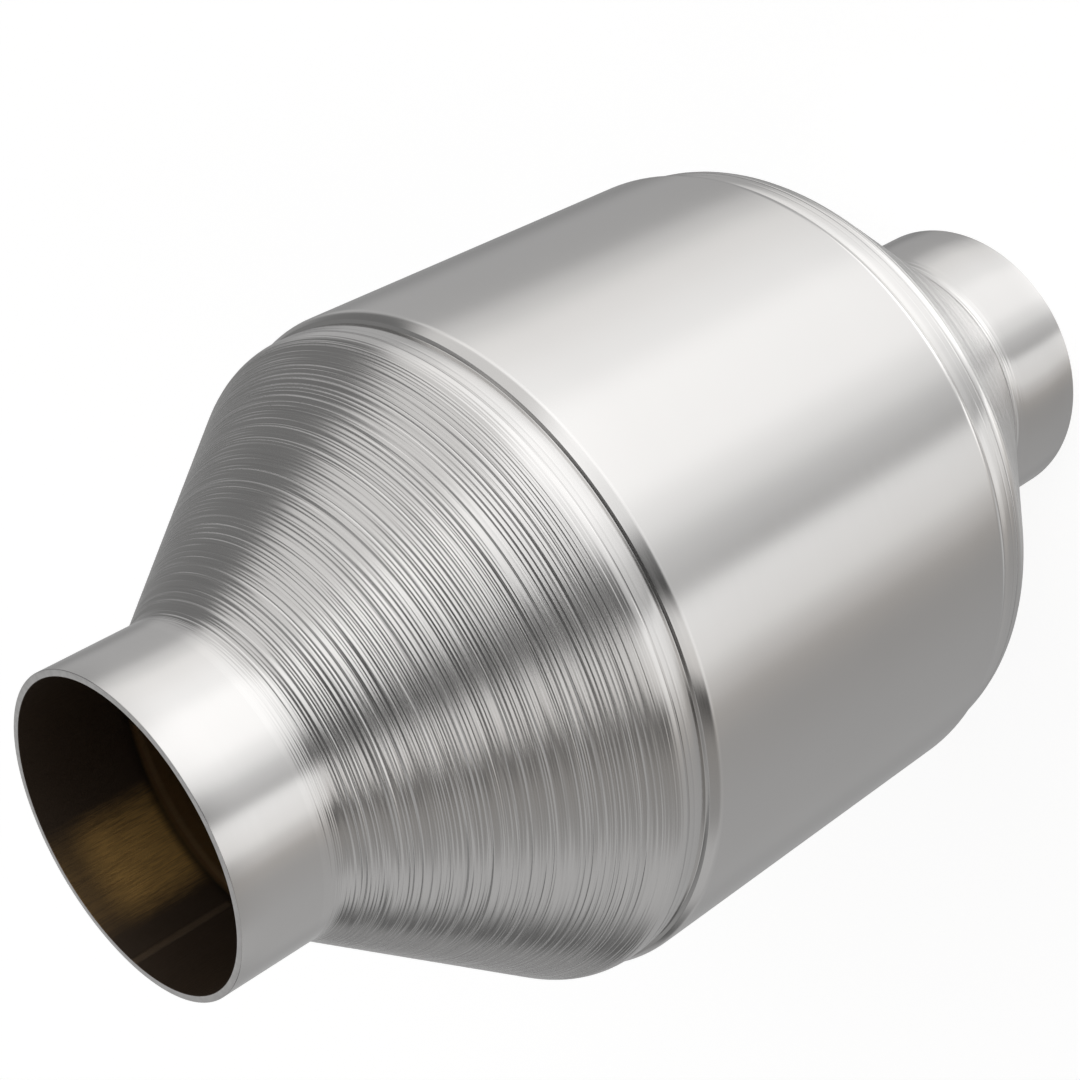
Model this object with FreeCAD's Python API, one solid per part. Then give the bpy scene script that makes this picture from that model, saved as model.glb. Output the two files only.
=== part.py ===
import FreeCAD, Part
import math
import os

# A round spun-body catalytic converter that stands on its outlet mouth.
# The flow axis is Z, the outlet mouth lies at height 0 and the inlet mouth is at the top.
# All lengths are in millimetres, and angles in degrees.

# Ceramic honeycomb, with a coarse grid of channels that has a real brick's open share
brick_diameter = 118.4
brick_length = 76.2
brick_skin = 1.0
channel_pitch = 8.89
channel_wall = 1.15

# Support mat, wrapped round the honeycomb, with a tongue-and-notch seam
mat_thickness = 3.6
mat_end_gap = 0.3
seam_width = 0.6
tongue_length = 22.0
tongue_offset = 14.0

# Knitted wire seal rings at the ends of the mat
seal_width = 6.0

# Clearance between the packed pieces, the seal rings' step back from the brick's faces, and the
# straight wall's reach past them
seat_gap = 0.25
seal_inset = 0.3
wall_reach = 0.43

# Spun body: necks and cones
wall = 1.35
neck_bore_diameter = 57.5
neck_length = 21.05
neck_bend_radius = 4.0
cone_half_angle = 37.15

# Spun body: shoulders, each with a rolled bead and a narrow groove that slopes up to the barrel
bead_drop = 1.4
bead_width = 5.45
groove_drop = 0.72
groove_run_in = 0.6
groove_run_out = 1.8

ORIGIN = FreeCAD.Vector(0, 0, 0)
FLOW_AXIS = FreeCAD.Vector(0, 0, 1)


def inner_wall_radius():
    return brick_diameter / 2 + mat_thickness


def barrel_radius():
    return inner_wall_radius() + wall


def neck_radius():
    return neck_bore_diameter / 2 + wall


def end_corners():
    """Outer corners of one end, from the mouth inwards, as depth, radius and bend radius."""
    bead_radius = barrel_radius() - bead_drop
    cone_length = (bead_radius - neck_radius()) / math.tan(math.radians(cone_half_angle))
    knuckle_depth = neck_length + cone_length
    bead_end = knuckle_depth + bead_width
    groove_depth = bead_end + groove_run_in
    barrel_start = groove_depth + groove_run_out
    return [
        (0.0, neck_radius(), 0.0),
        (neck_length, neck_radius(), neck_bend_radius),
        (knuckle_depth, bead_radius, 0.0),
        (bead_end, bead_radius, 0.0),
        (groove_depth, bead_radius - groove_drop, 0.0),
        (barrel_start, barrel_radius(), 0.0),
    ]


def inner_wall_start():
    """Depth from a mouth at which the inside of the barrel's straight wall starts."""
    rise = direction(end_corners()[-2], end_corners()[-1])
    return end_corners()[-1][0] + wall * rise[1] / (1 + rise[0])


def overall_length():
    """Two ends and the straight wall between them, which is as long as the brick asks."""
    return 2 * inner_wall_start() + brick_length + 2 * wall_reach


def brick_bottom():
    return inner_wall_start() + wall_reach


def body_corners():
    """Outer corners of the whole body, from the outlet mouth up to the inlet mouth."""
    lower = end_corners()
    total = overall_length()
    upper = [(total - depth, radius, bend) for depth, radius, bend in reversed(lower)]
    return lower + upper


def direction(start, end):
    length = math.hypot(end[0] - start[0], end[1] - start[1])
    return (end[0] - start[0]) / length, (end[1] - start[1]) / length


def offset_corners(corners, distance):
    """The same run of corners moved towards the axis, as the inside of the sheet, with plain corners."""
    moved = [(corners[0][0], corners[0][1] - distance, 0.0)]
    for before, corner, after in zip(corners, corners[1:], corners[2:]):
        first = direction(before, corner)
        second = direction(corner, after)
        scale = distance / (1 + first[0] * second[0] + first[1] * second[1])
        height = corner[0] + (first[1] + second[1]) * scale
        radius = corner[1] - (first[0] + second[0]) * scale
        moved.append((height, radius, 0.0))
    moved.append((corners[-1][0], corners[-1][1] - distance, 0.0))
    return moved


def bend_points(before, corner, after):
    """Start, middle and end of the arc that rounds a corner."""
    first = direction(before, corner)
    second = direction(corner, after)
    turn = math.acos(first[0] * second[0] + first[1] * second[1])
    reach = corner[2] * math.tan(turn / 2)
    sagitta = corner[2] * (1 / math.cos(turn / 2) - 1)
    inward = direction(first, second)
    start = (corner[0] - first[0] * reach, corner[1] - first[1] * reach)
    middle = (corner[0] + inward[0] * sagitta, corner[1] + inward[1] * sagitta)
    end = (corner[0] + second[0] * reach, corner[1] + second[1] * reach)
    return start, middle, end


def section_point(point):
    """A point of the section, given as height and radius."""
    return FreeCAD.Vector(point[1], 0, point[0])


def section_line(start, end):
    return Part.makeLine(section_point(start), section_point(end))


def section_arc(start, middle, end):
    return Part.Arc(section_point(start), section_point(middle), section_point(end)).toShape()


def rounded_path(corners):
    """Edges along a run of corners, where each corner with a bend radius is rounded."""
    edges = []
    position = corners[0]
    for before, corner, after in zip(corners, corners[1:], corners[2:]):
        start, middle, end = bend_points(before, corner, after)
        edges.append(section_line(position, start))
        if corner[2] > 0:
            edges.append(section_arc(start, middle, end))
        position = end
    edges.append(section_line(position, corners[-1]))
    return edges


def turned(edges):
    """A solid of revolution about the flow axis from a closed section."""
    return Part.Face(Part.Wire(edges)).revolve(ORIGIN, FLOW_AXIS, 360)


def body_shell():
    outer = body_corners()
    inner = offset_corners(outer, wall)
    inlet_rim = section_line(outer[-1], inner[-1])
    outlet_rim = section_line(inner[0], outer[0])
    return turned(rounded_path(outer) + [inlet_rim] + rounded_path(inner[::-1]) + [outlet_rim])


def square_wire(x, y, side, height):
    half = side / 2
    signs = [(-1, -1), (1, -1), (1, 1), (-1, 1), (-1, -1)]
    return Part.makePolygon([FreeCAD.Vector(x + i * half, y + j * half, height) for i, j in signs])


def channel_centres():
    """Centres of the whole channels of the square grid that fit inside the skin."""
    half = (channel_pitch - channel_wall) / 2
    limit = brick_diameter / 2 - brick_skin
    count = math.ceil(limit / channel_pitch)
    places = [(index + 0.5) * channel_pitch for index in range(-count, count)]
    grid = [(x, y) for x in places for y in places]
    return [(x, y) for x, y in grid if math.hypot(abs(x) + half, abs(y) + half) <= limit]


def catalyst_brick():
    bottom = brick_bottom()
    outline = Part.Wire(Part.makeCircle(brick_diameter / 2, FreeCAD.Vector(0, 0, bottom)))
    side = channel_pitch - channel_wall
    channels = [square_wire(x, y, side, bottom) for x, y in channel_centres()]
    face = Part.Face([outline] + channels, "Part::FaceMakerCheese")
    return face.extrude(FreeCAD.Vector(0, 0, brick_length))


def ring(low, high):
    """A plain ring that fills the gap between the brick and the barrel, with its seat gaps."""
    bottom = FreeCAD.Vector(0, 0, low)
    solid = Part.makeCylinder(inner_wall_radius() - seat_gap, high - low, bottom)
    return solid.cut(Part.makeCylinder(brick_diameter / 2 + seat_gap, high - low, bottom))


def seam_slot(angle, low, high):
    """A thin radial slot through the mat, from one height to another."""
    corner = FreeCAD.Vector(-seam_width / 2, brick_diameter / 2, low)
    slot = Part.makeBox(seam_width, mat_thickness, high - low, corner)
    slot.rotate(ORIGIN, FLOW_AXIS, angle)
    return slot


def seam_step(angle, height):
    """The stretch of the seam that runs round the mat, from the joint line to the tongue."""
    low = FreeCAD.Vector(0, 0, height - seam_width / 2)
    sector = Part.makeCylinder(inner_wall_radius(), seam_width, low, FLOW_AXIS, angle)
    sector = sector.cut(Part.makeCylinder(brick_diameter / 2, seam_width, low))
    sector.rotate(ORIGIN, FLOW_AXIS, 90)
    return sector


def support_mat():
    low = brick_bottom() + seal_inset + seal_width + mat_end_gap
    high = overall_length() - low
    tongue_low = (low + high - tongue_length) / 2
    tongue_high = tongue_low + tongue_length
    tongue_angle = math.degrees(tongue_offset / inner_wall_radius())
    overlap = seam_width / 2
    seam = [
        seam_slot(0, low, tongue_low + overlap),
        seam_slot(tongue_angle, tongue_low - overlap, tongue_high + overlap),
        seam_slot(0, tongue_high - overlap, high),
        seam_step(tongue_angle, tongue_low),
        seam_step(tongue_angle, tongue_high),
    ]
    return ring(low, high).cut(seam)


def outlet_seal_ring():
    low = brick_bottom() + seal_inset
    return ring(low, low + seal_width)


def inlet_seal_ring():
    high = brick_bottom() + brick_length - seal_inset
    return ring(high - seal_width, high)


def main():
    os.makedirs("parts", exist_ok=True)
    print("overall length", round(overall_length(), 3))
    for build in (body_shell, catalyst_brick, support_mat, outlet_seal_ring, inlet_seal_ring):
        shape = build()
        shape.exportStep("parts/" + build.__name__ + ".step")
        print(build.__name__, "volume", round(shape.Volume), "valid", shape.isValid())


main()
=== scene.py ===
import math

import bmesh
import bpy
import numpy as np
from mathutils import Matrix, Vector


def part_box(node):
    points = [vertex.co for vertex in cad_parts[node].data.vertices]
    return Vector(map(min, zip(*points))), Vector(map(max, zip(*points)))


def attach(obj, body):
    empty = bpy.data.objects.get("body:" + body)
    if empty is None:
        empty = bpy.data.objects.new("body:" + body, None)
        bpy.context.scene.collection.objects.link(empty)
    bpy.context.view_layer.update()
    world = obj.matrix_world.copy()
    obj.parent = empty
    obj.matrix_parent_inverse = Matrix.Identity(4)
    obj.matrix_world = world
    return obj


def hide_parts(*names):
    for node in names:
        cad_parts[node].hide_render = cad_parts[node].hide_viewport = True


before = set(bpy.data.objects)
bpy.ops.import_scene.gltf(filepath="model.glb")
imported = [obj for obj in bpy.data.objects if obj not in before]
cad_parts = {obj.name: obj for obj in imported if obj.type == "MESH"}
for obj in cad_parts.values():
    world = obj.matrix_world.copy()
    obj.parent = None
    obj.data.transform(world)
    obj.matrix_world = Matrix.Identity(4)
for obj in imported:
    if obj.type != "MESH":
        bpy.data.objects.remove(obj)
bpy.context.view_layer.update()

MM = 0.001

# Sizes of the spun body, in metres. Its length and barrel come from the frame. The shoulders have
# bends and a fine step in the groove that the solids leave out.
BODY_LOW, BODY_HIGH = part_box("body_shell")
LENGTH = BODY_HIGH[2] - BODY_LOW[2]
BARREL_RADIUS = (BODY_HIGH[0] - BODY_LOW[0]) / 2
WALL = 1.35 * MM
NECK_RADIUS = 30.1 * MM
NECK_LENGTH = 21.05 * MM
CONE_HALF_ANGLE = math.radians(37.15)
BEAD_DROP = 1.4 * MM
BEAD_WIDTH = 4.70 * MM
GROOVE_DROP = 0.27 * MM
GROOVE_RUN_IN = 1.60 * MM
STEP_RUN = 0.22 * MM
STEP_RISE = 0.75 * MM
GROOVE_RUN_OUT = 1.80 * MM
NECK_BEND = 4.0 * MM
KNUCKLE_BEND = 6.5 * MM
BARREL_BEND = 3.0 * MM
BEAD_END_BEND = 6.0 * MM
GROOVE_BEND = 0.15 * MM
STEP_BEND = 0.15 * MM
RIM_BEND = 0.12 * MM
SMALLEST_BEND = 0.3 * MM

# Places of three corners in the run that end_corners gives
NECK_CORNER = 1
KNUCKLE_CORNER = 2
STEP_CORNER = 5

# Fineness of the turned mesh
SEGMENTS = 192
BEND_STEPS = 6
PLAIN_SPACING = 12 * MM

# Real honeycomb: 62 channels per square centimetre
CELL_PITCH = 1.27 * MM
CELL_WALL = 0.2 * MM
BRICK_SKIN = 0.9 * MM
SKIN_SEGMENTS = 180

SQUARE_CORNERS = [(-1, -1), (1, -1), (1, 1), (-1, 1)]

# Distance under which points count as touching, and turn in radians under which a run is straight
TOUCHING = 1e-6
STRAIGHT = 1e-4


# Geometry of the body's section

def end_corners():
    """Outer corners of one end, from the mouth inwards, as depth, radius and bend radius."""
    bead = BARREL_RADIUS - BEAD_DROP
    knuckle = NECK_LENGTH + (bead - NECK_RADIUS) / math.tan(CONE_HALF_ANGLE)
    bead_end = knuckle + BEAD_WIDTH
    groove = bead_end + GROOVE_RUN_IN
    groove_floor = bead - GROOVE_DROP
    return [
        (0.0, NECK_RADIUS, RIM_BEND),
        (NECK_LENGTH, NECK_RADIUS, NECK_BEND),
        (knuckle, bead, KNUCKLE_BEND),
        (bead_end, bead, BEAD_END_BEND),
        (groove, groove_floor, GROOVE_BEND),
        (groove + STEP_RUN, groove_floor + STEP_RISE, STEP_BEND),
        (groove + GROOVE_RUN_OUT, BARREL_RADIUS, BARREL_BEND),
    ]


def offset_corners(corners, distance):
    """The inside of the sheet, with bends that stay concentric where they can."""
    moved = [(corners[0][0], corners[0][1] - distance, RIM_BEND)]
    for before, corner, after in zip(corners, corners[1:], corners[2:]):
        a = Vector(corner[:2]) - Vector(before[:2])
        b = Vector(after[:2]) - Vector(corner[:2])
        a.normalize()
        b.normalize()
        scale = distance / (1 + a.dot(b))
        turn = a.x * b.y - a.y * b.x
        bend = max(corner[2] + math.copysign(distance, turn), SMALLEST_BEND)
        moved.append((corner[0] + (a.y + b.y) * scale, corner[1] - (a.x + b.x) * scale, bend))
    moved.append((corners[-1][0], corners[-1][1] - distance, RIM_BEND))
    return moved


def round_corner(before, corner, after, steps):
    """Points along the arc that rounds a corner."""
    p = Vector(corner[:2])
    a = (p - Vector(before[:2])).normalized()
    b = (Vector(after[:2]) - p).normalized()
    turn = a.angle(b)
    if turn < STRAIGHT:
        return [p]
    inward = (b - a).normalized()
    centre = p + inward * corner[2] / math.cos(turn / 2)
    start = (p - a * corner[2] * math.tan(turn / 2)) - centre
    side = math.copysign(1, a.x * b.y - a.y * b.x)
    points = []
    for step in range(steps + 1):
        angle = side * turn * step / steps
        points.append(centre + Matrix.Rotation(angle, 2) @ start)
    return points


def rounded_run(corners, steps):
    """A closed run of section points, with every corner rounded."""
    points = []
    count = len(corners)
    for index, corner in enumerate(corners):
        points += round_corner(corners[index - 1], corner, corners[(index + 1) % count], steps)
    return points


def both_ends(corners):
    """One end's corners, and the other end's after them."""
    return corners + [(LENGTH - depth, radius, bend) for depth, radius, bend in reversed(corners)]


def body_section():
    """The closed outline of the body's wall, as height and radius. The inside has no step."""
    corners = end_corners()
    without_step = corners[:STEP_CORNER] + corners[STEP_CORNER + 1:]
    inner = offset_corners(both_ends(without_step), WALL)
    return rounded_run(both_ends(corners) + inner[::-1], BEND_STEPS)


def divide(points, spacing):
    """The same outline with points no further apart than the spacing of its place."""
    dense = []
    for a, b in zip(points, points[1:] + points[:1]):
        parts = max(1, math.ceil((b - a).length / spacing(a, b)))
        dense += [a.lerp(b, k / parts) for k in range(parts)]
    return dense


# Turned rings on the cones, which fade in over the neck's bend and out at the knuckle

RING_SEED = 11
RING_SPACING = 0.42 * MM
RING_DEPTH = 0.045 * MM
RINGS_FROM = 16.5 * MM
RINGS_FULL = 24.0 * MM
RINGS_FADE = 62.3 * MM
RINGS_TO = 65.0 * MM

# How far the cut rings start before the cone's lower corner and stop short of its upper one
RINGS_LEAD = 1.0 * MM
RINGS_STOP = 0.6 * MM

# Fine creases that the rolling tool leaves on each bead, as depth from the mouth and strength. The
# bump presses them in, and the colour darkens them with painted shade
BEAD_CREASES = [(66.05 * MM, 1.0), (67.45 * MM, 0.35)]
CREASE_HALF_WIDTH = 0.30 * MM
CREASE_FLAT = 0.05 * MM


def on_cone(point):
    """Whether a point of the section lies on one of the two cones."""
    corners = end_corners()
    depth = min(point.x, LENGTH - point.x)
    start = corners[NECK_CORNER][0] - RINGS_LEAD
    return start < depth < corners[KNUCKLE_CORNER][0] - RINGS_STOP


def outside_radius(height):
    """Radius of the sheet's middle at a height, to tell the outside from the inside."""
    corners = end_corners()
    depths = [corner[0] for corner in corners]
    radii = [corner[1] for corner in corners]
    return float(np.interp(min(height, LENGTH - height), depths, radii)) - WALL / 2


def section_rings(points):
    """Cuts fine turned rings of uneven depth into the outside of both cones."""
    rng = np.random.default_rng(RING_SEED)
    cut = []
    for p in points:
        if on_cone(p) and p.y > outside_radius(p.x):
            depth = RING_DEPTH * rng.random() ** 2
            cut.append(p - Vector((0, depth)))
        else:
            cut.append(p)
    return cut


def spacing_at(a, b):
    """The widest gap between points of the outline, fine where the rings are cut."""
    middle = (a + b) / 2
    if on_cone(middle) and middle.y > outside_radius(middle.x):
        return RING_SPACING
    return PLAIN_SPACING


def turned_mesh(name, section, materials, pick):
    """A mesh turned about the flow axis from a closed section of height and radius points."""
    rings = len(section)
    heights = np.array([p.x for p in section])
    radii = np.array([p.y for p in section])
    angles = np.arange(SEGMENTS) * 2 * math.pi / SEGMENTS
    x = np.outer(radii, np.cos(angles))
    y = np.outer(radii, np.sin(angles))
    z = np.repeat(heights[:, None], SEGMENTS, axis=1)
    vertices = np.stack([x, y, z], axis=-1).reshape(-1, 3)
    faces = []
    slots = []
    for i in range(rings):
        j = (i + 1) % rings
        slot = pick(section[i], section[j])
        for k in range(SEGMENTS):
            m = (k + 1) % SEGMENTS
            faces.append((i * SEGMENTS + k, i * SEGMENTS + m, j * SEGMENTS + m, j * SEGMENTS + k))
            slots.append(slot)
    mesh = bpy.data.meshes.new(name)
    mesh.from_pydata(vertices.tolist(), [], faces)
    for material in materials:
        mesh.materials.append(material)
    mesh.polygons.foreach_set("material_index", slots)
    mesh.polygons.foreach_set("use_smooth", [True] * len(faces))
    mesh.update()
    piece = bpy.data.objects.new(name, mesh)
    bpy.context.collection.objects.link(piece)
    bm = bmesh.new()
    bm.from_mesh(mesh)
    bmesh.ops.recalc_face_normals(bm, faces=bm.faces)
    bm.to_mesh(mesh)
    bm.free()
    return piece


# Node helpers

# Radius within which the angle round the axis isn't worked out, to keep the division safe
AXIS_RADIUS = 1.0 * MM


class Nodes:
    """A small helper that adds nodes to a tree and links them."""

    def __init__(self, tree):
        self.tree = tree
        tree.nodes.clear()

    def add(self, kind, inputs=None, **settings):
        node = self.tree.nodes.new(kind)
        for key, value in settings.items():
            setattr(node, key, value)
        for key, value in (inputs or {}).items():
            self.feed(node.inputs[key], value)
        return node

    def feed(self, socket, value):
        if isinstance(value, bpy.types.NodeSocket):
            self.tree.links.new(value, socket)
        else:
            socket.default_value = value

    def math(self, operation, *values):
        node = self.tree.nodes.new("ShaderNodeMath")
        node.operation = operation
        for socket, value in zip(node.inputs, values):
            self.feed(socket, value)
        return node.outputs[0]

    def ramp(self, value, low, high, start, end, kind="SMOOTHSTEP"):
        node = self.add("ShaderNodeMapRange", interpolation_type=kind)
        for key, number in zip(("Value", "From Min", "From Max", "To Min", "To Max"),
                               (value, low, high, start, end)):
            self.feed(node.inputs[key], number)
        return node.outputs[0]

    def mix_colour(self, factor, a, b):
        node = self.tree.nodes.new("ShaderNodeMix")
        node.data_type = "RGBA"
        for socket, value in ((node.inputs[0], factor), (node.inputs[6], a), (node.inputs[7], b)):
            self.feed(socket, value)
        return node.outputs[2]


def new_material(name):
    material = bpy.data.materials.new(name)
    material.use_nodes = True
    return material, Nodes(material.node_tree)


def colour(red, green, blue):
    return (red, green, blue, 1.0)


def darker(base, share):
    """The same colour with only a share of its light."""
    return colour(*[channel * share for channel in base])


def object_point(nodes):
    return nodes.add("ShaderNodeTexCoord").outputs["Object"]


def place(nodes):
    """Height along the flow axis, and the cosine and sine of the angle round it."""
    x, y, z = nodes.add("ShaderNodeSeparateXYZ", {"Vector": object_point(nodes)}).outputs
    squares = nodes.math("ADD", nodes.math("MULTIPLY", x, x), nodes.math("MULTIPLY", y, y))
    radius = nodes.math("MAXIMUM", nodes.math("SQRT", squares), AXIS_RADIUS)
    return z, nodes.math("DIVIDE", x, radius), nodes.math("DIVIDE", y, radius)


def end_depth(nodes, z):
    """Depth of a point from the nearer mouth."""
    return nodes.math("MINIMUM", z, nodes.math("SUBTRACT", LENGTH, z))


def streaks(nodes, along, cos, sin, scale_along, scale_round, detail, roughness=0.6):
    """Noise drawn out round the axis, or along it, as tool marks are."""
    vector = nodes.add("ShaderNodeCombineXYZ", {
        "X": nodes.math("MULTIPLY", cos, scale_round),
        "Y": nodes.math("MULTIPLY", sin, scale_round),
        "Z": nodes.math("MULTIPLY", along, scale_along)}).outputs[0]
    noise = nodes.add("ShaderNodeTexNoise", {
        "Vector": vector, "Scale": 1.0, "Detail": detail, "Roughness": roughness})
    return noise.outputs["Fac"]


# Materials

STEEL = (0.660, 0.650, 0.640)

# Marks inside: a painted pool of light, in the brown of the oxide, lies near +Y, and the tube's
# seam lies beside it
LIT_PATCH_TURN = math.radians(7.5)
LIT_PATCH_SIDE_FROM = 0.915
LIT_PATCH_SIDE_FULL = 1.0
SEAM_ANGLE = math.radians(131.0)

# Depths between which the marks fade in or out: the painted pool of light, the paler cone behind
# it, the painted highlight along the fillet where the cone starts, and the end of the seam
PATCH_IN = (2.0 * MM, 9.0 * MM)
PATCH_OUT = (19.5 * MM, 22.0 * MM)
CONE_IN = (21.5 * MM, 23.0 * MM)
HIGHLIGHT_IN = (22.8 * MM, 23.7 * MM)
HIGHLIGHT_OUT = (24.4 * MM, 25.6 * MM)
SEAM_OUT = (20.0 * MM, 21.5 * MM)

SOOT = (0.055, 0.037, 0.024, 1.0)
# Brown of the heat oxide, brightened into a painted pool of light
LIT_OXIDE_BROWN = (0.56, 0.335, 0.105, 1.0)
CONE_TAN = (0.44, 0.27, 0.12, 1.0)
# Painted highlight along the fillet where the neck meets the cone
FILLET_HIGHLIGHT_TAN = (0.60, 0.41, 0.22, 1.0)
SEAM_TAN = (0.17, 0.12, 0.075, 1.0)


def satin_steel():
    """Smooth satin sheet of the barrel and the necks."""
    material, nodes = new_material("satin_steel")
    z, cos, sin = place(nodes)
    brushing = streaks(nodes, z, cos, sin, 900.0, 2.0, 3.0)
    mottle = nodes.add("ShaderNodeTexNoise", {
        "Vector": object_point(nodes), "Scale": 60.0, "Detail": 4.0})
    rough = nodes.math("ADD", nodes.math("MULTIPLY", brushing, 0.05),
                       nodes.math("MULTIPLY", mottle.outputs["Fac"], 0.05))
    bump = nodes.add("ShaderNodeBump", {
        "Strength": 1.0, "Distance": 0.0012 * MM, "Height": brushing})
    shader = nodes.add("ShaderNodeBsdfPrincipled", {
        "Base Color": nodes.mix_colour(mottle.outputs["Fac"], darker(STEEL, 0.97), colour(*STEEL)),
        "Metallic": 1.0,
        "Roughness": nodes.math("ADD", rough, 0.13),
        "Normal": bump.outputs[0]})
    nodes.add("ShaderNodeOutputMaterial", {"Surface": shader.outputs[0]})
    return material


def turned_steel():
    """The cones, covered in fine turned rings that fade in and out round the body, their grooves
    darkened with painted shade.
    """
    material, nodes = new_material("turned_steel")
    z, cos, sin = place(nodes)
    fine = streaks(nodes, z, cos, sin, 3000.0, 1.0, 0.0)
    medium = streaks(nodes, z, cos, sin, 1800.0, 0.5, 0.0)
    coarse = streaks(nodes, z, cos, sin, 800.0, 0.5, 0.0)
    ridge = nodes.math("ABSOLUTE", nodes.math("SUBTRACT", medium, 0.5))
    height = nodes.math("ADD", nodes.math("MULTIPLY", fine, 0.9),
                        nodes.math("MULTIPLY", ridge, 1.5))
    height = nodes.math("ADD", height, nodes.math("MULTIPLY", coarse, 0.4))
    depth = end_depth(nodes, z)
    start = nodes.ramp(depth, RINGS_FROM, RINGS_FULL, 0.0, 1.0)
    end = nodes.ramp(depth, RINGS_FADE, RINGS_TO, 1.0, 0.15)
    reach = nodes.math("MULTIPLY", start, end)
    bump = nodes.add("ShaderNodeBump", {
        "Strength": 1.0, "Distance": 0.26 * MM, "Height": nodes.math("MULTIPLY", height, reach)})
    # Painted shade: the colour darkens where the fine rings' height is low, in their grooves
    painted_ring_shade = nodes.math("MULTIPLY", nodes.ramp(fine, 0.30, 0.44, 1.0, 0.0), reach)
    shade = nodes.mix_colour(painted_ring_shade, colour(*STEEL), darker(STEEL, 0.95))
    shader = nodes.add("ShaderNodeBsdfPrincipled", {
        "Base Color": shade,
        "Metallic": 1.0,
        "Roughness": nodes.math("ADD", nodes.math("MULTIPLY", reach, 0.06), 0.17),
        "Normal": bump.outputs[0]})
    nodes.add("ShaderNodeOutputMaterial", {"Surface": shader.outputs[0]})
    return material


def polished_steel():
    """The rolled shoulders, smoother than the barrel, with faint rings and the bead's creases,
    which carry painted shade.
    """
    material, nodes = new_material("polished_steel")
    z, cos, sin = place(nodes)
    rings = streaks(nodes, z, cos, sin, 1500.0, 1.0, 3.0)
    depth = end_depth(nodes, z)
    crease_dent_and_shade = 0.0
    for crease_depth, strength in BEAD_CREASES:
        off_crease = nodes.math("ABSOLUTE", nodes.math("SUBTRACT", depth, crease_depth))
        mark = nodes.ramp(off_crease, CREASE_FLAT, CREASE_HALF_WIDTH, strength, 0.0)
        crease_dent_and_shade = nodes.math("ADD", mark, crease_dent_and_shade)
    height = nodes.math("SUBTRACT", nodes.math("MULTIPLY", rings, 0.2), crease_dent_and_shade)
    bump = nodes.add("ShaderNodeBump", {"Strength": 1.0, "Distance": 0.06 * MM, "Height": height})
    shader = nodes.add("ShaderNodeBsdfPrincipled", {
        # Painted shade: the creases are darkened in the colour
        "Base Color": nodes.mix_colour(crease_dent_and_shade, colour(*STEEL), darker(STEEL, 0.86)),
        "Metallic": 1.0,
        "Roughness": nodes.ramp(rings, 0.3, 0.7, 0.12, 0.20),
        "Normal": bump.outputs[0]})
    nodes.add("ShaderNodeOutputMaterial", {"Surface": shader.outputs[0]})
    return material


def stained_steel_and_painted_light():
    """The inside wall, blackened by heat, with draw marks, a painted pool of light in the oxide's
    brown, a painted highlight where the cone starts, and a seam line.
    """
    material, nodes = new_material("heat_stained_steel_and_painted_light")
    z, cos, sin = place(nodes)
    depth = end_depth(nodes, z)
    marks = streaks(nodes, z, cos, sin, 170.0, 120.0, 4.0, 0.8)
    # Painted pool of light: a bright brown patch on the side of the wall near +Y
    facing = nodes.math("SUBTRACT", nodes.math("MULTIPLY", sin, math.cos(LIT_PATCH_TURN)),
                        nodes.math("MULTIPLY", cos, math.sin(LIT_PATCH_TURN)))
    wobble = nodes.math("MULTIPLY", nodes.math("SUBTRACT", marks, 0.5), 0.05)
    uneven = nodes.math("ADD", facing, wobble)
    round_it = nodes.ramp(uneven, LIT_PATCH_SIDE_FROM, LIT_PATCH_SIDE_FULL, 0.0, 1.0)
    along = nodes.math("MULTIPLY", nodes.ramp(depth, *PATCH_IN, 0.25, 1.0),
                       nodes.ramp(depth, *PATCH_OUT, 1.0, 0.25))
    lit_patch = nodes.math("MULTIPLY", nodes.math("MULTIPLY", round_it, along),
                       nodes.ramp(marks, 0.36, 0.60, 0.62, 1.0))
    deep = nodes.ramp(depth, *CONE_IN, 0.0, 1.0)
    # Painted highlight: a paler band along the fillet where the cone starts
    fillet_highlight = nodes.math("MULTIPLY", nodes.ramp(depth, *HIGHLIGHT_IN, 0.0, 1.0),
                      nodes.ramp(depth, *HIGHLIGHT_OUT, 1.0, 0.0))
    cone = nodes.mix_colour(fillet_highlight, CONE_TAN, FILLET_HIGHLIGHT_TAN)
    black = nodes.mix_colour(deep, SOOT, cone)
    brown = nodes.mix_colour(lit_patch, black, LIT_OXIDE_BROWN)
    angle = nodes.math("ARCTAN2", sin, cos)
    off_seam = nodes.math("ABSOLUTE", nodes.math("SUBTRACT", angle, SEAM_ANGLE))
    seam = nodes.math("MULTIPLY", nodes.ramp(off_seam, 0.012, 0.035, 1.0, 0.0),
                      nodes.ramp(depth, *SEAM_OUT, 1.0, 0.0))
    stain = nodes.mix_colour(nodes.math("MULTIPLY", seam, 0.5), brown, SEAM_TAN)
    height = nodes.math("ADD", nodes.math("MULTIPLY", marks, 0.5),
                        nodes.math("MULTIPLY", seam, 2.5))
    shader = nodes.add("ShaderNodeBsdfPrincipled", {
        "Base Color": stain,
        "Metallic": 0.6,
        "Roughness": nodes.ramp(marks, 0.3, 0.7, 0.45, 0.65),
        "Normal": nodes.add("ShaderNodeBump", {
            "Strength": 1.0, "Distance": 0.08 * MM, "Height": height}).outputs[0]})
    nodes.add("ShaderNodeOutputMaterial", {"Surface": shader.outputs[0]})
    return material


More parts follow.
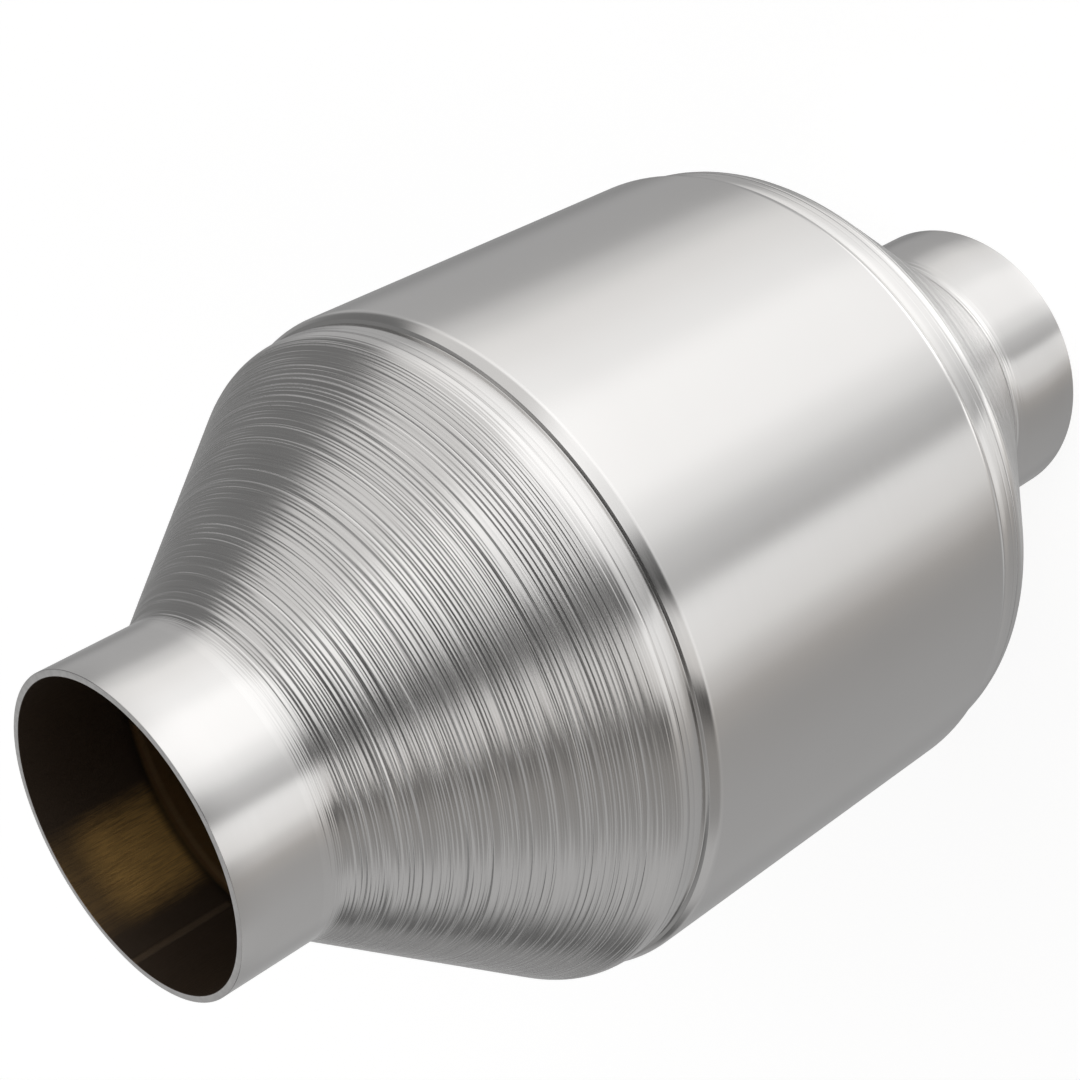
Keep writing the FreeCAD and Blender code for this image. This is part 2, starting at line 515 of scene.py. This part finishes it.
def cut_steel():
    """The sawn and deburred rim of each mouth."""
    material, nodes = new_material("cut_steel")
    marks = nodes.add("ShaderNodeTexNoise", {
        "Vector": object_point(nodes), "Scale": 900.0, "Detail": 3.0})
    shader = nodes.add("ShaderNodeBsdfPrincipled", {
        "Base Color": darker(STEEL, 0.82),
        "Metallic": 1.0,
        "Roughness": nodes.ramp(marks.outputs["Fac"], 0.3, 0.7, 0.30, 0.42)})
    nodes.add("ShaderNodeOutputMaterial", {"Surface": shader.outputs[0]})
    return material


def coated_ceramic():
    """Washcoated ceramic, warm tan and matt."""
    material, nodes = new_material("coated_ceramic")
    grain = nodes.add("ShaderNodeTexNoise", {
        "Vector": object_point(nodes), "Scale": 400.0, "Detail": 5.0})
    tone = nodes.mix_colour(grain.outputs["Fac"],
                            colour(0.50, 0.40, 0.28), colour(0.68, 0.57, 0.43))
    shader = nodes.add("ShaderNodeBsdfPrincipled", {
        "Base Color": tone,
        "Roughness": 0.9,
        "Normal": nodes.add("ShaderNodeBump", {
            "Strength": 0.6, "Distance": 0.05 * MM, "Height": grain.outputs["Fac"]}).outputs[0]})
    nodes.add("ShaderNodeOutputMaterial", {"Surface": shader.outputs[0]})
    return material


def fibre_mat():
    """Compressed fibre with flakes of mica."""
    material, nodes = new_material("fibre_mat")
    point = object_point(nodes)
    fibres = nodes.add("ShaderNodeTexNoise", {"Vector": point, "Scale": 350.0, "Detail": 6.0})
    flakes = nodes.add("ShaderNodeTexVoronoi", {"Vector": point, "Scale": 500.0})
    base = nodes.mix_colour(fibres.outputs["Fac"],
                            colour(0.62, 0.57, 0.46), colour(0.84, 0.81, 0.72))
    tone = nodes.mix_colour(nodes.ramp(flakes.outputs["Distance"], 0.05, 0.16, 0.8, 0.0),
                            base, colour(0.55, 0.42, 0.20))
    shader = nodes.add("ShaderNodeBsdfPrincipled", {
        "Base Color": tone,
        "Roughness": 0.95,
        "Normal": nodes.add("ShaderNodeBump", {
            "Strength": 0.8, "Distance": 0.1 * MM, "Height": fibres.outputs["Fac"]}).outputs[0]})
    nodes.add("ShaderNodeOutputMaterial", {"Surface": shader.outputs[0]})
    return material


def knitted_wire():
    """Pressed knitted wire, drawn as two crossing sets of fine ridges, with painted shade in the
    gaps between them.
    """
    material, nodes = new_material("knitted_wire")
    z, cos, sin = place(nodes)
    angle = nodes.math("ARCTAN2", sin, cos)
    round_it = nodes.math("MULTIPLY", angle, 420.0)
    along = nodes.math("MULTIPLY", z, 6000.0)
    rising = nodes.math("SINE", nodes.math("ADD", round_it, along))
    falling = nodes.math("SINE", nodes.math("SUBTRACT", round_it, along))
    knit = nodes.math("MAXIMUM", rising, falling)
    wire = nodes.ramp(knit, -0.2, 0.8, 0.0, 1.0)
    shader = nodes.add("ShaderNodeBsdfPrincipled", {
        # Painted shade: the low parts between the ridges are coloured dark
        "Base Color": nodes.mix_colour(wire, colour(0.12, 0.12, 0.12), colour(0.55, 0.54, 0.53)),
        "Metallic": 1.0,
        "Roughness": 0.35,
        "Normal": nodes.add("ShaderNodeBump", {
            "Strength": 1.0, "Distance": 0.12 * MM, "Height": knit}).outputs[0]})
    nodes.add("ShaderNodeOutputMaterial", {"Surface": shader.outputs[0]})
    return material


# Pieces

SATIN, TURNED, POLISHED, STAINED, CUT = range(5)
RIM_REACH = 0.2 * MM
POLISH_REACH = 2.2 * MM
LEVEL = 1e-7


def body_zone(a, b):
    """Which finish a stretch of the section takes."""
    middle = (a + b) / 2
    corners = end_corners()
    depth = min(middle.x, LENGTH - middle.x)
    if abs(a.x - b.x) < LEVEL and depth < RIM_REACH:
        return CUT
    if middle.y < outside_radius(middle.x):
        return STAINED
    if depth < RINGS_FROM:
        return SATIN
    if depth < RINGS_TO:
        return TURNED
    if depth < corners[-1][0] + POLISH_REACH:
        return POLISHED
    return SATIN


def split_at_zones(points):
    """Adds a point to the outline where the rings' finish starts and ends."""
    levels = [RINGS_FROM, RINGS_TO, LENGTH - RINGS_TO, LENGTH - RINGS_FROM]
    split = []
    for a, b in zip(points, points[1:] + points[:1]):
        split.append(a)
        low = min(a.x, b.x) + TOUCHING
        high = max(a.x, b.x) - TOUCHING
        passed = [level for level in levels if low < level < high]
        for level in sorted(passed, reverse=a.x > b.x):
            split.append(a.lerp(b, (level - a.x) / (b.x - a.x)))
    return split


def make_body():
    section = section_rings(divide(split_at_zones(body_section()), spacing_at))
    materials = [satin_steel(), turned_steel(), polished_steel(), stained_steel_and_painted_light(), cut_steel()]
    body = turned_mesh("spun_body", section, materials, body_zone)
    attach(body, "root")
    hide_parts("body_shell")


def honeycomb_cells(radius):
    """Grid places whose whole channel lies inside the skin."""
    half = (CELL_PITCH - CELL_WALL) / 2
    limit = radius - BRICK_SKIN
    count = math.ceil(limit / CELL_PITCH)
    cells = []
    for i in range(-count, count):
        for j in range(-count, count):
            x = (i + 0.5) * CELL_PITCH
            y = (j + 0.5) * CELL_PITCH
            if math.hypot(abs(x) + half, abs(y) + half) <= limit:
                cells.append((i, j))
    return cells


def channel_walls(cells, low, high):
    """Corners of every channel at both ends, its four walls, and the webs between neighbours."""
    half = (CELL_PITCH - CELL_WALL) / 2
    vertices = []
    first = {}
    for i, j in cells:
        first[i, j] = len(vertices)
        for level in (low, high):
            for a, b in SQUARE_CORNERS:
                x = (i + 0.5) * CELL_PITCH + a * half
                y = (j + 0.5) * CELL_PITCH + b * half
                vertices.append((x, y, level))
    faces = []
    for i, j in cells:
        n = first[i, j]
        for k in range(4):
            m = (k + 1) % 4
            faces.append((n + k, n + m, n + 4 + m, n + 4 + k))
        for level in (0, 4):
            right = first.get((i + 1, j))
            up = first.get((i, j + 1))
            across = first.get((i + 1, j + 1))
            if right is not None:
                faces.append((n + level + 1, right + level, right + level + 3, n + level + 2))
            if up is not None:
                faces.append((n + level + 3, n + level + 2, up + level + 1, up + level))
            if right is not None and up is not None and across is not None:
                faces.append((n + level + 2, right + level + 3, across + level, up + level + 1))
    return vertices, faces


def add_skin(bm, radius, low, high):
    """The round skin, and the rest of both end faces between it and the outer channels."""
    circles = []
    for level in (low, high):
        edges = []
        for edge in bm.edges:
            on_level = all(abs(v.co.z - level) < TOUCHING for v in edge.verts)
            if on_level and len(edge.link_faces) == 1:
                edges.append(edge)
        circle = []
        for k in range(SKIN_SEGMENTS):
            angle = 2 * math.pi * k / SKIN_SEGMENTS
            circle.append(bm.verts.new((radius * math.cos(angle), radius * math.sin(angle), level)))
        for k in range(SKIN_SEGMENTS):
            edges.append(bm.edges.new((circle[k], circle[(k + 1) % SKIN_SEGMENTS])))
        bmesh.ops.triangle_fill(bm, edges=edges, use_beauty=True)
        circles.append(circle)
    bottom, top = circles
    for k in range(SKIN_SEGMENTS):
        m = (k + 1) % SKIN_SEGMENTS
        bm.faces.new((bottom[k], bottom[m], top[m], top[k]))


def make_brick(material):
    """The honeycomb with its real channel count, open from end to end."""
    low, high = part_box("catalyst_brick")
    radius = (high[0] - low[0]) / 2
    vertices, faces = channel_walls(honeycomb_cells(radius), low[2], high[2])
    mesh = bpy.data.meshes.new("honeycomb")
    mesh.from_pydata(vertices, [], faces)
    bm = bmesh.new()
    bm.from_mesh(mesh)
    add_skin(bm, radius, low[2], high[2])
    bmesh.ops.recalc_face_normals(bm, faces=bm.faces)
    bm.to_mesh(mesh)
    bm.free()
    mesh.materials.append(material)
    piece = bpy.data.objects.new("honeycomb", mesh)
    bpy.context.collection.objects.link(piece)
    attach(piece, "root")
    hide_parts("catalyst_brick")


def dress_node(name, material):
    """Gives a piece that keeps its own mesh its material."""
    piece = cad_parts[name]
    piece.data.materials.clear()
    piece.data.materials.append(material)


# Studio

# Light round the object by direction: degrees from the camera's side towards +X, brightness, and
# how warm its white is.
# The lists are for light from below, for level and slanting light, and for light from above.
LOW_PANELS = [
    (-180, 0.50, 0.0), (-144, 0.42, 0.0), (-128, 0.49, 0.0), (-100, 0.50, 0.0), (-72, 0.48, 0.3),
    (-60, 0.54, 1.0), (-51, 0.80, 0.6), (-40, 1.16, 0.2), (-24, 1.26, 0.0), (-18, 0.62, 0.0),
    (-9, 0.82, 0.0), (5, 1.26, 0.0), (18, 1.56, 0.0), (46, 1.60, 0.0), (60, 1.38, 0.0),
    (82, 1.23, 0.2), (96, 0.90, 0.1), (108, 0.56, 0.0), (132, 0.53, 0.0), (150, 0.34, 0.0),
    (180, 0.50, 0.0),
]
MIDDLE_PANELS = [
    (-180, 0.62, 0.0), (-166, 0.50, 0.0), (-154, 0.30, 0.0), (-142, 0.34, 0.0), (-133, 0.08, 0.0),
    (-124, 0.25, 0.0), (-116, 0.56, 0.0), (-98, 0.57, 0.0), (-84, 0.36, 0.3), (-64, 0.34, 1.0),
    (-48, 0.08, 1.0), (-38, 0.88, 0.6), (-25, 1.00, 0.2), (-14, 0.06, 0.0), (-5, 0.22, 0.0),
    (10, 1.12, 0.0), (34, 1.40, 0.0), (56, 0.90, 0.2), (88, 0.86, 0.2), (102, 0.20, 0.0),
    (163, 0.26, 0.0), (172, 0.62, 0.0), (180, 0.66, 0.0),
]
TOP_PANELS = [
    (-180, 0.16, 0.0), (-165, 0.18, 0.0), (-140, 0.50, 0.0), (-90, 0.49, 0.0), (-66, 0.36, 0.6),
    (-46, 0.07, 0.0), (44, 0.07, 0.0), (60, 0.32, 0.0), (88, 0.36, 0.0), (104, 0.32, 0.0),
    (126, 0.56, 0.0), (150, 0.48, 0.0), (168, 0.20, 0.0), (180, 0.16, 0.0),
]
# Heights, as the sine of elevation, between which the middle list and then the upper one take over
MIDDLE_START = -0.42
MIDDLE_END = -0.16
TOP_START = 0.72
TOP_END = 0.86
# Light from below grows a little weaker, and stronger again straight below
DEEP = -0.80
DEEP_SHARE = 0.82
NADIR = -0.92
NADIR_START = -0.81
NADIR_SHARE = 1.55
BRIGHTEST = 2.0
# What warm light has less of
WARM_GREEN_LOSS = 0.035
WARM_BLUE_LOSS = 0.07


def panel_ramp(nodes, place_round, stops):
    """Brightness along one list of panels, as a ramp on which 1 stands for BRIGHTEST."""
    ramp = nodes.add("ShaderNodeValToRGB", {"Fac": place_round})
    ramp.color_ramp.interpolation = "EASE"
    stretch = ramp.color_ramp.elements
    while len(stretch) > 1:
        stretch.remove(stretch[-1])
    for index, (degrees, brightness, warmth) in enumerate(stops):
        spot = (degrees + 180) / 360
        element = stretch[0] if index == 0 else stretch.new(spot)
        element.position = spot
        grey = brightness / BRIGHTEST
        green = grey * (1 - WARM_GREEN_LOSS * warmth)
        blue = grey * (1 - WARM_BLUE_LOSS * warmth)
        element.color = (grey, green, blue, 1.0)
    return ramp.outputs["Color"]


def studio_light():
    """Panels and a darker ceiling, seen by everything but the camera, which sees white."""
    world = bpy.data.worlds.new("studio")
    bpy.context.scene.world = world
    world.use_nodes = True
    nodes = Nodes(world.node_tree)
    direction = nodes.add("ShaderNodeTexCoord").outputs["Generated"]
    x, y, z = nodes.add("ShaderNodeSeparateXYZ", {"Vector": direction}).outputs
    angle = nodes.math("ARCTAN2", x, nodes.math("MULTIPLY", y, -1.0))
    place_round = nodes.math("ADD", nodes.math("DIVIDE", angle, 2 * math.pi), 0.5)
    low = panel_ramp(nodes, place_round, LOW_PANELS)
    middle = panel_ramp(nodes, place_round, MIDDLE_PANELS)
    top = panel_ramp(nodes, place_round, TOP_PANELS)
    above_low = nodes.ramp(z, MIDDLE_START, MIDDLE_END, 0.0, 1.0)
    above_middle = nodes.ramp(z, TOP_START, TOP_END, 0.0, 1.0)
    level = nodes.mix_colour(above_middle, nodes.mix_colour(above_low, low, middle), top)
    share = nodes.ramp(z, DEEP, MIDDLE_START, DEEP_SHARE, 1.0, "LINEAR")
    share = nodes.math("MULTIPLY", share, nodes.ramp(z, NADIR, NADIR_START, NADIR_SHARE, 1.0))
    ray = nodes.add("ShaderNodeLightPath")
    studio = nodes.add("ShaderNodeBackground", {
        "Color": level, "Strength": nodes.math("MULTIPLY", share, BRIGHTEST)})
    white = nodes.add("ShaderNodeBackground", {"Color": colour(1.0, 1.0, 1.0), "Strength": 1.0})
    mix = nodes.add("ShaderNodeMixShader")
    nodes.feed(mix.inputs[0], ray.outputs["Is Camera Ray"])
    nodes.feed(mix.inputs[1], studio.outputs[0])
    nodes.feed(mix.inputs[2], white.outputs[0])
    nodes.add("ShaderNodeOutputWorld", {"Surface": mix.outputs[0]})


FLOOR_REACH = 8.0
FLOOR_DROP = 0.1 * MM
FLOOR_GLOW = 0.80


def make_floor():
    """A plain pale floor that stays white to the camera and keeps a faint shadow."""
    mesh = bpy.data.meshes.new("floor")
    corners = [(a * FLOOR_REACH, b * FLOOR_REACH, 0) for a, b in SQUARE_CORNERS]
    mesh.from_pydata(corners, [], [(0, 1, 2, 3)])
    floor = bpy.data.objects.new("floor", mesh)
    bpy.context.collection.objects.link(floor)
    floor.location.z = -FLOOR_DROP
    material, nodes = new_material("pale_floor")
    ray = nodes.add("ShaderNodeLightPath")
    matt = nodes.add("ShaderNodeBsdfDiffuse", {"Color": colour(0.45, 0.45, 0.45)})
    to_camera = nodes.math("MULTIPLY", ray.outputs["Is Camera Ray"], FLOOR_GLOW)
    glow = nodes.add("ShaderNodeEmission", {"Strength": to_camera})
    both = nodes.add("ShaderNodeAddShader")
    nodes.feed(both.inputs[0], matt.outputs[0])
    nodes.feed(both.inputs[1], glow.outputs[0])
    nodes.add("ShaderNodeOutputMaterial", {"Surface": both.outputs[0]})
    mesh.materials.append(material)
    floor.visible_glossy = False


# Camera, at the photograph's viewing angle: it looks down at the standing body from the inlet's
# side and is rolled, so that the body lies across the picture
CAMERA_PLACE = Vector((0.0, -0.34654, 0.37173))
CAMERA_AIM = Vector((-0.00346, 0.0, 0.11877))
CAMERA_ROLL = math.radians(-120.05)
CAMERA_LENS = 76.24
CAMERA_SHIFT = (-0.0407, 0.0529)


def make_camera():
    data = bpy.data.cameras.new("camera")
    data.lens = CAMERA_LENS
    data.sensor_width = 36.0
    data.shift_x, data.shift_y = CAMERA_SHIFT
    camera = bpy.data.objects.new("camera", data)
    bpy.context.collection.objects.link(camera)
    camera.location = CAMERA_PLACE
    look = (CAMERA_AIM - CAMERA_PLACE).to_track_quat("-Z", "Y").to_matrix()
    camera.rotation_euler = (look @ Matrix.Rotation(CAMERA_ROLL, 3, "Z")).to_euler()
    bpy.context.scene.camera = camera


def main():
    make_body()
    make_brick(coated_ceramic())
    dress_node("support_mat", fibre_mat())
    wire = knitted_wire()
    dress_node("inlet_seal_ring", wire)
    dress_node("outlet_seal_ring", wire)
    studio_light()
    make_floor()
    make_camera()
    bpy.context.scene.view_settings.view_transform = "Standard"


main()
